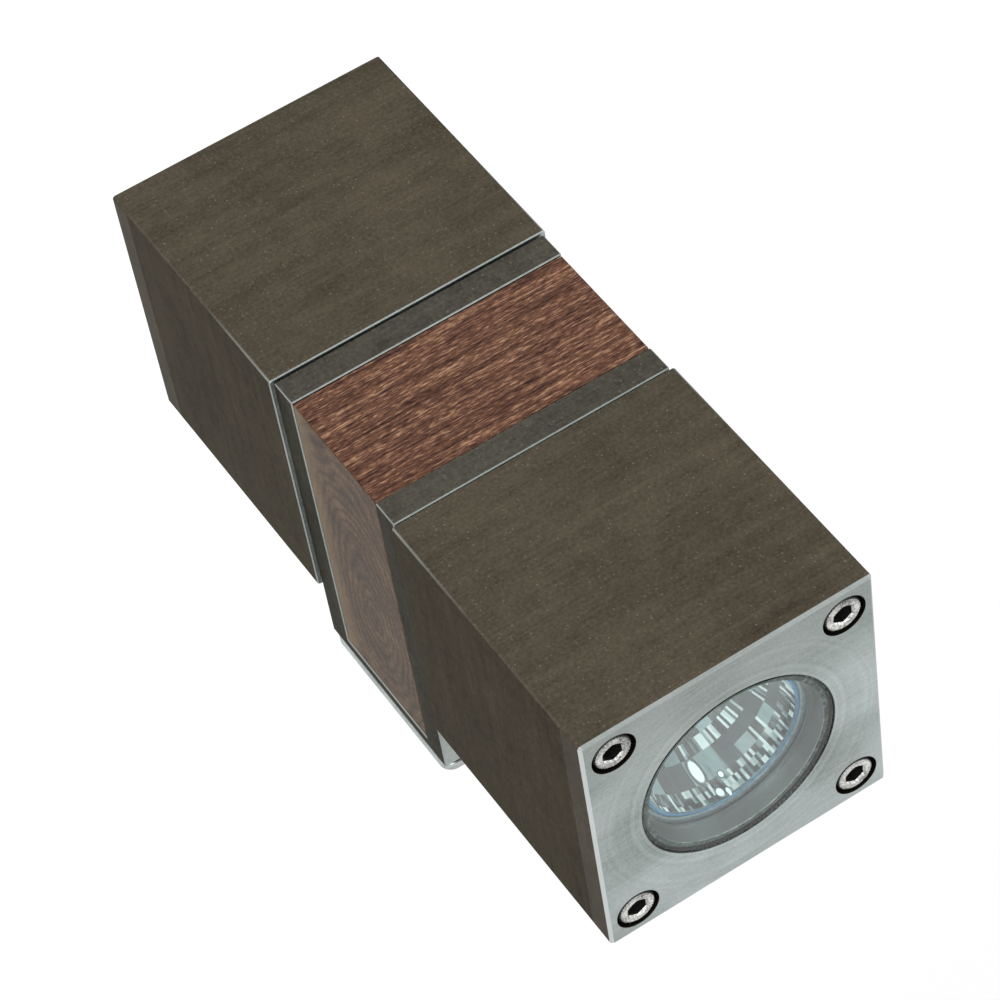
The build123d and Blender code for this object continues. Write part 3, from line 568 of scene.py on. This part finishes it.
def reflector(end, metal):
    """Pressed glass bowl with flat mirror facets inside and a plain shell outside."""
    mesh = bmesh.new()
    top = LAMP_TOP
    low = top - BOWL_LONG - SHELL + 0.01
    shoulder = top - RIM_TALL
    shell_rows = 14
    outside = []
    for k in range(shell_rows + 1):
        t = k / shell_rows
        outside.append((bowl_outside(t), shoulder + (low - shoulder) * t))
    rim = [
        (GLASS_R + FIT, top - LEDGE + 0.1),
        (GLASS_R + FIT, top - 0.25),
        (GLASS_R + 0.3, top - 0.02),
        (LAMP_R - 0.5, top - 0.02),
        (LAMP_R - 0.02, top - 0.5),
        (LAMP_R - 0.02, shoulder + 0.05),
    ]
    steps = [1.0, *reversed(BLOCK_ROWS), 0.0]
    inside = [(bowl_inside(t), top - LEDGE - (BOWL_LONG - LEDGE) * t) for t in steps]
    seed = 1.3 if end == "upper" else 8.9

    def flatten(i, k):
        """Pushes a point of the mirror onto its facet's plane, with a little unevenness."""
        if not 1 < k < len(inside):
            return 0
        half = pi / BLOCKS
        off = (i % STRIPS) / STRIPS * 2 * half - half
        flat = inside[k - 1][0] * (cos(half) / cos(off) - 1)
        if steps[k - 1] < BLOCK_ROWS[2]:
            flat = 0
        return flat + UNEVEN * noise.noise(Vector((i // STRIPS * 7.31, k * 3.77, seed)))

    profile = [(THROAT_R, low), *inside, *rim, *outside]
    lathe(mesh, profile, BLOCKS * STRIPS, close=True, wave=flatten)
    bmesh.ops.recalc_face_normals(mesh, faces=mesh.faces)
    layer = mesh.faces.layers.float.new("facet")
    floors = [top - LEDGE - (BOWL_LONG - LEDGE) * t for t in BLOCK_ROWS]
    for face in mesh.faces:
        middle = face.calc_center_median()
        r = sqrt(middle.x**2 + middle.y**2)
        in_bowl = low + 1.0 < middle.z < top - LEDGE and r < GLASS_R - MIRROR_IN + 0.05
        mirror = in_bowl and face.normal.z > -0.05
        face.smooth = not mirror
        face[layer] = PLAIN_TONE
        if mirror:
            # each mirror face carries the tone of its painted reflection
            column = floor((atan2(middle.y, middle.x) / tau + 1) * BLOCKS * STRIPS)
            row = sum(middle.z < at for at in floors)
            face[layer] = painted_reflection_tone(column, row, seed)
    body, stands_for = end + "_lamp_set", [end + "_lamp_reflector"]
    piece(end + "_lamp_mirror", body, end, mesh, [metal], stands_for)


def lamp_front(end, glass, edge):
    """The lamp's front glass: a disc with a ground, tinted edge."""
    mesh = bmesh.new()
    low, high = lamp_glass_low.z, lamp_glass_high.z
    rim = GLASS_R - FIT
    bevel = 0.35
    tinted = rim - 1.1  # the tint shows from here out
    back = [(0, low), (rim - 0.9, low), (rim, low)]
    side = [(rim, low), (rim, high - bevel), (rim - bevel, high), (tinted, high)]
    front = [(tinted, high), (rim * 0.5, high), (0, high)]
    lathe(mesh, back, LAMP_SEGMENTS)
    lathe(mesh, side, LAMP_SEGMENTS, material=1)
    lathe(mesh, front, LAMP_SEGMENTS)
    bmesh.ops.remove_doubles(mesh, verts=mesh.verts, dist=1e-4)
    body, stands_for = end + "_lamp_set", [end + "_lamp_glass"]
    piece(end + "_lamp_front_glass", body, end, mesh, [glass, edge], stands_for)


def capsule(end, quartz):
    """Quartz burner: a tube with a domed end, an exhaust tip and a flat pinch."""
    wall = 0.7
    tip_tall = 1.6
    tip_r = 0.6
    dome_rings = 8
    segments = 48
    mesh = bmesh.new()
    low, high = capsule_low.z, capsule_high.z
    r = capsule_high.x - 0.05
    dome_tall = r * 0.75
    pinch_r = r * 0.8
    dome = []
    for k in range(1, dome_rings + 1):
        turn = k / dome_rings * pi / 2
        z = high - tip_tall - dome_tall + dome_tall * sin(turn)
        dome.append((max(tip_r, r * cos(turn)), z))
    outside = [(0, low), (pinch_r, low + 0.05), (pinch_r, low + 3.5), (r, low + 5.0), *dome]
    outside += [(0.5, high - 0.9), (0.22, high - 0.1), (0, high - 0.02)]
    lathe(mesh, outside, segments)
    inside = [(0, low + 5.2), (r - wall - 0.6, low + 5.4), (r - wall, low + 6.4)]
    inside += [(max(0.0, a - wall), b - wall * 0.8) for a, b in dome[:-1]]
    inside.append((0, high - tip_tall - wall))
    lathe(mesh, inside, segments)
    body, stands_for = end + "_lamp_set", [end + "_lamp_capsule"]
    piece(end + "_lamp_burner", body, end, mesh, [quartz], stands_for)


def tube_along(mesh, points, r, sides=8):
    """Round wire through points, in a bmesh."""
    up, across = Vector((0, 0, 1)), Vector((1, 0, 0))
    rings = []
    for k, point in enumerate(points):
        a = points[max(0, k - 1)]
        b = points[min(len(points) - 1, k + 1)]
        way = (b - a).normalized()
        side = way.cross(up if abs(way.z) < 0.9 else across).normalized()
        over = way.cross(side)
        ring = []
        for i in range(sides):
            turn = tau * i / sides
            ring.append(mesh.verts.new(point + r * (cos(turn) * side + sin(turn) * over)))
        rings.append(ring)
    for low, high in zip(rings, rings[1:]):
        for i in range(sides):
            j = (i + 1) % sides
            mesh.faces.new([low[i], low[j], high[j], high[i]]).smooth = True
    mesh.faces.new(list(reversed(rings[0])))
    mesh.faces.new(rings[-1])


def filament(end, metal):
    """Coiled tungsten across the burner on its two lead wires."""
    wire_r = 0.1
    turns, coil_r, half = 11, 0.55, 1.9
    lead_x, lead_tall = 2.2, 6.4
    mesh = bmesh.new()
    low = capsule_low.z + 5.6
    high = low + lead_tall
    points = [Vector((-lead_x, 0, low)), Vector((-lead_x, 0, high)), Vector((-half, 0, high))]
    steps = turns * 10
    for k in range(steps + 1):
        turn = tau * turns * k / steps
        x = -half + 2 * half * k / steps
        points.append(Vector((x, coil_r * sin(turn), high + coil_r * cos(turn))))
    points += [Vector((half, 0, high)), Vector((lead_x, 0, high)), Vector((lead_x, 0, low))]
    tube_along(mesh, points, wire_r)
    piece(end + "_lamp_filament", end + "_lamp_set", end, mesh, [metal])


# --- screws -----------------------------------------------------------------------------------

HEAD_R = 5.15
HEAD_TALL = 6.0
KNURL = 0.24  # depth of the grooves round the head
KEY = 5.0  # across the flats of the socket
SOCKET_DEEP = 0.55  # share of the head that the socket goes down
THREAD_R = 3.0
THREAD_PITCH = 1.0
THREAD_DEEP = 0.55
SCREW_HALF_PITCH = (screws_high.x - screws_low.x) / 2 - HEAD_R


def hex_radius(turn, flats):
    """Distance from the middle to the edge of a hexagon, in one direction."""
    step = pi / 3
    return flats / 2 / cos((turn + step / 2) % step - step / 2)


def cap_screw(mesh, x, y, top, bottom):
    """Socket cap screw: knurled head, chamfered six-sided socket and a rolled thread."""
    seat = top - HEAD_TALL
    segments = 72
    rows_per_turn = 6

    def ring(radius_at, z):
        made = []
        for i in range(segments):
            turn = tau * i / segments
            r = radius_at(turn, i)
            made.append(mesh.verts.new((x + r * cos(turn), y + r * sin(turn), z)))
        return made

    def round_at(r):
        return lambda turn, i: r

    def knurl(turn, i):
        return HEAD_R - (0.0 if i % 2 else KNURL)

    def knurl_end(turn, i):
        return HEAD_R - 0.35 - (0.0 if i % 2 else 0.2)

    def lead_in(turn, i):
        return 0.5 * hex_radius(turn, KEY) + 0.5 * KEY / 2 + 0.5

    def six(extra):
        return lambda turn, i: hex_radius(turn, KEY) + extra

    socket_floor = top - HEAD_TALL * SOCKET_DEEP
    middle = mesh.verts.new((x, y, socket_floor - 0.9))
    rings = [
        ring(round_at(1.2), socket_floor - 0.45),
        ring(six(-0.05), socket_floor),
        ring(six(-0.02), top - 0.55),
        ring(lead_in, top - 0.03),
        ring(round_at(KEY / 2 + 0.9), top),
        ring(round_at(HEAD_R - 0.9), top),
        ring(knurl_end, top - 0.22),
        ring(knurl, top - 0.6),
        ring(knurl, seat + 0.6),
        ring(round_at(HEAD_R - 0.3), seat + 0.1),
        ring(round_at(HEAD_R - 0.5), seat + 0.01),
        ring(round_at(THREAD_R), seat + 0.01),
    ]
    rows = int((seat - bottom) / THREAD_PITCH * rows_per_turn)
    for k in range(1, rows):
        z = seat - (seat - bottom) * k / rows
        cut = THREAD_DEEP if k > rows_per_turn else 0.1 * k  # the thread starts gently

        def thread(turn, i, z=z, cut=cut):
            phase = (z / THREAD_PITCH - turn / tau) % 1.0
            return THREAD_R - 0.02 - cut * abs(2 * phase - 1)

        rings.append(ring(thread, z))
    rings.append(ring(round_at(THREAD_R - 0.8), bottom))
    for i in range(segments):
        mesh.faces.new([middle, rings[0][i], rings[0][(i + 1) % segments]]).material_index = 1
    for k, (low, high) in enumerate(zip(rings, rings[1:])):
        socket_and_flank_shade = k < 2 or 5 < k < 9  # the socket and the head's knurled side, painted near-black as shade
        for i in range(segments):
            j = (i + 1) % segments
            wall = mesh.faces.new([low[i], high[i], high[j], low[j]])
            wall.material_index = 1 if socket_and_flank_shade else 0
    mesh.faces.new(rings[-1])


def cover_screws(end, steel, dark):
    """The four socket cap screws of one cover."""
    mesh = bmesh.new()
    for i in (-1, 1):
        for j in (-1, 1):
            x, y = i * SCREW_HALF_PITCH, j * SCREW_HALF_PITCH
            cap_screw(mesh, x, y, screws_high.z, screws_low.z)
    body, stands_for = end + "_cover_set", [end + "_cover_screws"]
    piece(end + "_socket_screws", body, end, mesh, [steel, dark], stands_for)


# --- stage, lights and camera -------------------------------------------------------------------

CAMERA_AT = (0.2534, -0.7865, 0.5536)
CAMERA_AZIMUTH = radians(19.17)
CAMERA_ELEVATION = radians(35.46)
CAMERA_ROLL = radians(138.8)
CAMERA_LENS = 137.6
FLOOR_HALF = 6.0
FLOOR_Z = -0.62


def camera():
    """A long lens above the front, turned so that the light lies across the frame."""
    level = Vector((cos(CAMERA_AZIMUTH), sin(CAMERA_AZIMUTH), 0))
    flat = cos(CAMERA_ELEVATION)
    out_x, out_y = sin(CAMERA_AZIMUTH) * flat, -cos(CAMERA_AZIMUTH) * flat
    back = Vector((out_x, out_y, sin(CAMERA_ELEVATION)))
    right = cos(CAMERA_ROLL) * level + sin(CAMERA_ROLL) * back.cross(level)
    data = bpy.data.cameras.new("camera")
    data.lens = CAMERA_LENS
    data.sensor_width = 36
    made = bpy.data.objects.new("camera", data)
    turn = Matrix((right, back.cross(right), back)).transposed().to_4x4()
    made.matrix_world = Matrix.Translation(CAMERA_AT) @ turn
    bpy.context.scene.collection.objects.link(made)
    bpy.context.scene.camera = made


def softbox(name, at, aim, size, power):
    """A square lamp of a size in metres and a power in watts, aimed at a point."""
    data = bpy.data.lights.new(name, "AREA")
    data.shape = "SQUARE"
    data.size = size
    data.energy = power
    made = bpy.data.objects.new(name, data)
    made.location = at
    made.rotation_euler = (Vector(aim) - Vector(at)).to_track_quat("-Z", "Y").to_euler()
    bpy.context.scene.collection.objects.link(made)


def studio():
    """Pale floor well below the light, a bright even surround and three soft lamps."""
    world = bpy.data.worlds.new("surround")
    bpy.context.scene.world = world
    world.use_nodes = True
    sky = world.node_tree.nodes["Background"]
    wire(world.node_tree, sky, {"Color": "#FFFFFF", "Strength": 1.0})
    softbox("key", (0.9, -1.2, 1.5), (0, -0.05, 0), 0.9, 9)
    softbox("over_back", (-0.5, 1.35, 1.2), (0, -0.05, 0.05), 0.5, 0.4)
    softbox("side", (-1.3, -0.7, 0.7), (0, -0.05, 0), 0.9, 5)

    mesh = bpy.data.meshes.new("floor")
    around = ((-1, -1), (1, -1), (1, 1), (-1, 1))
    corners = [(x * FLOOR_HALF, y * FLOOR_HALF, FLOOR_Z) for x, y in around]
    mesh.from_pydata(corners, [], [(0, 1, 2, 3)])
    floor_piece = bpy.data.objects.new("floor", mesh)
    bpy.context.scene.collection.objects.link(floor_piece)
    paper = new_material("matt_white_paper", Base_Color="#F7F7F7", Roughness=0.9)[0]
    mesh.materials.append(paper)
    bpy.context.scene.view_settings.view_transform = "Standard"


# --- everything -------------------------------------------------------------------------------


def finishes():
    """The finishes by name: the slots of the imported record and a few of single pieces."""
    bronze = ("#38332B", "#645C4E")
    channel_bronze = ("#312F2A", "#605D54")
    cut_and_worn = ("#7E8683", "#B4BAB6")
    housing = anodised_aluminium("bronze_anodised_aluminium", *bronze, *cut_and_worn)
    channel = anodised_aluminium("deburred_anodised_aluminium", *channel_bronze, *cut_and_worn)
    tinted = dull_solid(
        "dichroic_glass_edge", "#2F7DB4", "#6DB2DC", 1.0, 0.25, 0.02, Coat_Weight=0.5
    )
    return {
        "housing_metal": housing,
        "channel_metal": channel,
        "cover_metal": machined_cover("milled_aluminium", *bronze, "#7C8480", "#BDC6C5"),
        "plate_metal": plain_metal("brushed_aluminium_plate", "#8B9290", "#B9C0BE", 1.2, 0.4),
        "screw_steel": plain_metal("stainless_steel", "#77777A", "#E6E6E8", 0.5, 0.3, 0.06),
        "rolled_steel": plain_metal(
            "rolled_stainless_steel", "#3C3C3B", "#D8D9D5", 0.55, 0.28, 0.1
        ),
        # near-black painted shade for the screw sockets and the knurled sides of the heads in their
        # counterbores
        "oiled_socket": dull_solid("oily_socket", "#050505", "#161616", 0.6, 0.5, 0.03),
        "zinc_steel": plain_metal("zinc_plated_steel", "#8F9394", "#C9CED0", 1.5, 0.35),
        "pin_metal": plain_metal("nickel_plated_brass", "#A9A79E", "#D9D7CE", 0.6, 0.25),
        "brass": plain_metal("turned_brass", "#A98543", "#D6B66B", 0.8, 0.3),
        "reflector": mirror_coating("evaporated_aluminium_mirror"),
        "clear_glass": clear_glass("float_glass", "#F2F8F6", 18),
        "quartz": clear_glass("quartz_glass", "#FFFFFF", 4, 0.04),
        "blue_edge": tinted,
        "silicone": silicone_bed("clear_silicone"),
        "black_rubber": dull_solid("black_rubber", "#0C0D0C", "#1B1D1B", 0.8, 0.7, 0.03),
        "ceramic": dull_solid("glazed_ceramic", "#D9D3C4", "#F0ECE1", 1.2, 0.35, 0.02),
        "lead_cover": dull_solid("silicone_braided_lead", "#B9B4A8", "#E3DFD5", 0.5, 0.6, 0.05),
        "terminal_plastic": dull_solid("moulded_polyamide", "#C9C8C0", "#E4E3DB", 0.9, 0.5, 0.02),
        "wood": oiled_hardwood("oiled_hardwood"),
    }


NODE_FINISH = {
    "housing": "housing_metal",
    "end_cover": "cover_metal",
    "cover_gasket": "black_rubber",
    "cover_screws": "screw_steel",
    "cover_glass": "clear_glass",
    "glass_seal": "silicone",
    "lamp_reflector": "reflector",
    "lamp_cap": "ceramic",
    "lamp_glass": "clear_glass",
    "lamp_capsule": "quartz",
    "lamp_pins": "pin_metal",
    "lamp_holder": "ceramic",
    "holder_contacts": "brass",
    "holder_bracket": "zinc_steel",
    "holder_screws": "screw_steel",
    "bracket_screws": "screw_steel",
    "joint_gasket": "black_rubber",
    "housing_screws": "screw_steel",
    "wire_bush": "black_rubber",
    "leads": "lead_cover",
    "centre_channel": "channel_metal",
    "wood_block": "wood",
    "wood_grub_screws": "screw_steel",
    "wall_plate": "plate_metal",
    "plate_gasket": "black_rubber",
    "plate_studs": "zinc_steel",
    "stud_washers": "zinc_steel",
    "stud_nuts": "zinc_steel",
    "cable_grommet": "black_rubber",
    "terminal_block": "terminal_plastic",
    "terminal_inserts": "brass",
    "clamp_screws": "zinc_steel",
    "terminal_screws": "zinc_steel",
    "earth_screw": "brass",
    "earth_washer": "brass",
}


def slot_of(node):
    """The finish of a carried-over CAD node, by the part of its name after the end's."""
    return NODE_FINISH[node.replace("upper_", "").replace("lower_", "")]


finish = finishes()
for node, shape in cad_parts.items():
    shape.data.materials.clear()
    shape.data.materials.append(finish[slot_of(node)])

for end in ENDS:
    reflector(end, finish["reflector"])
    lamp_front(end, finish["clear_glass"], finish["blue_edge"])
    capsule(end, finish["quartz"])
    filament(end, finish["pin_metal"])
    cover_screws(end, finish["rolled_steel"], finish["oiled_socket"])

camera()
studio()
